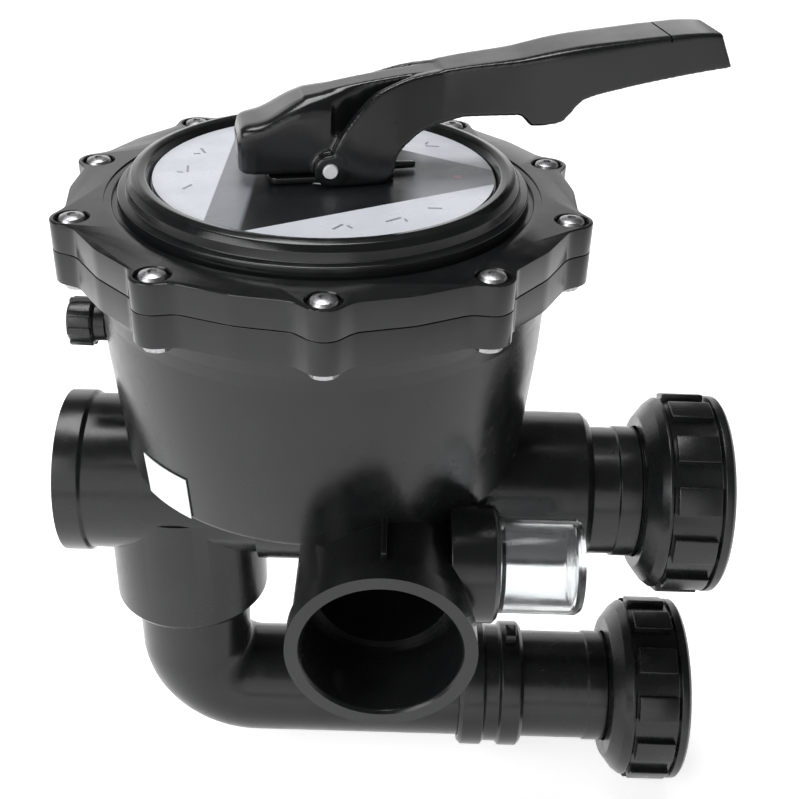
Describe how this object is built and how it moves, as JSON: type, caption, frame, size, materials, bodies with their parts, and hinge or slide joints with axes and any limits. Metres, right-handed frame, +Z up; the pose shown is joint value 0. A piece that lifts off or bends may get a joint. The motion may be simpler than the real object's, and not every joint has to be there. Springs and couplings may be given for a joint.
{
  "type": "multiport selector valve",
  "caption": "Side-mount pool filter selector valve: bolted bowl and cover, lever handle, socket ports, elbow pipe and two union nuts.",
  "frame": {"origin": "centre of the upper union's sealing face, where the valve meets the filter tank", "axes": "+X out of the unions towards the tank, +Z up along the selector shaft, -Y out of the front port"},
  "size_m": [0.3038, 0.24, 0.3857],
  "materials": {
    "black_plastic": "moulded, glossy",
    "fastener_steel": "bright",
    "inner_steel": "bright",
    "seal_rubber": "matt",
    "white_plastic": "satin",
    "label_film": "satin film",
    "clear_plastic": "clear"
  },
  "bodies": {
    "valve": {"valve_body": "black_plastic", "valve_cover": "black_plastic", "cover_seal": "seal_rubber", "cover_bolt_01": "fastener_steel", "cover_bolt_02": "fastener_steel", "cover_bolt_03": "fastener_steel", "cover_bolt_04": "fastener_steel", "cover_bolt_05": "fastener_steel", "cover_bolt_06": "fastener_steel", "cover_bolt_07": "fastener_steel", "cover_bolt_08": "fastener_steel", "cover_bolt_09": "fastener_steel", "cover_bolt_10": "fastener_steel", "cover_nut_01": "fastener_steel", "cover_nut_02": "fastener_steel", "cover_nut_03": "fastener_steel", "cover_nut_04": "fastener_steel", "cover_nut_05": "fastener_steel", "cover_nut_06": "fastener_steel", "cover_nut_07": "fastener_steel", "cover_nut_08": "fastener_steel", "cover_nut_09": "fastener_steel", "cover_nut_10": "fastener_steel", "position_label": "label_film", "slip_washer": "white_plastic", "thrust_washer": "inner_steel", "spider_gasket": "seal_rubber", "union_tail_upper": "black_plastic", "union_tail_lower": "black_plastic", "union_seal_upper": "seal_rubber", "union_seal_lower": "seal_rubber", "elbow_pipe": "black_plastic", "pipe_coupling": "black_plastic", "sight_glass": "clear_plastic", "blank_sticker": "label_film"},
    "turntable": {"turning_base": "black_plastic", "pointer": "black_plastic"},
    "shaft": {"selector_shaft": "black_plastic", "rotor": "black_plastic", "rotor_washer": "inner_steel", "rotor_spring": "inner_steel", "shaft_seal_upper": "seal_rubber", "shaft_seal_lower": "seal_rubber", "handle_pin": "inner_steel"},
    "lever": {"handle": "black_plastic"},
    "upper_nut": {"union_nut_upper": "black_plastic"},
    "lower_nut": {"union_nut_lower": "black_plastic"},
    "plug": {"gauge_plug": "black_plastic"}
  },
  "joints": [
    {"name": "selector_turn", "type": "hinge", "parent": "valve", "child": "turntable", "pos_m": [-0.165, 0, 0.157], "axis": [0, 0, 1], "continuous": true},
    {"name": "rotor_lift", "type": "slide", "parent": "turntable", "child": "shaft", "axis": [0, 0, 1], "range_m": [0, 0.0055], "stiffness_N_per_m": 9000, "springref_m": -0.012, "deforming": ["rotor_spring"]},
    {"name": "handle_press", "type": "hinge", "parent": "shaft", "child": "lever", "pos_m": [-0.165, 0, 0.162], "axis": [-0.1908, 0.9816, 0], "range_deg": [0, 12.1]},
    {"name": "upper_nut_turn", "type": "hinge", "parent": "valve", "child": "upper_nut", "pos_m": [0, 0, 0], "axis": [1, 0, 0], "continuous": true},
    {"name": "lower_nut_turn", "type": "hinge", "parent": "valve", "child": "lower_nut", "pos_m": [0, 0, -0.127], "axis": [1, 0, 0], "continuous": true},
    {"name": "plug_turn", "type": "hinge", "parent": "valve", "child": "plug", "pos_m": [-0.265, 0, 0.083], "axis": [-1, 0, 0], "continuous": true}
  ],
  "couplings": [
    {"joint": "handle_press", "follows": "rotor_lift", "rad_per_m": 38.2}
  ]
}
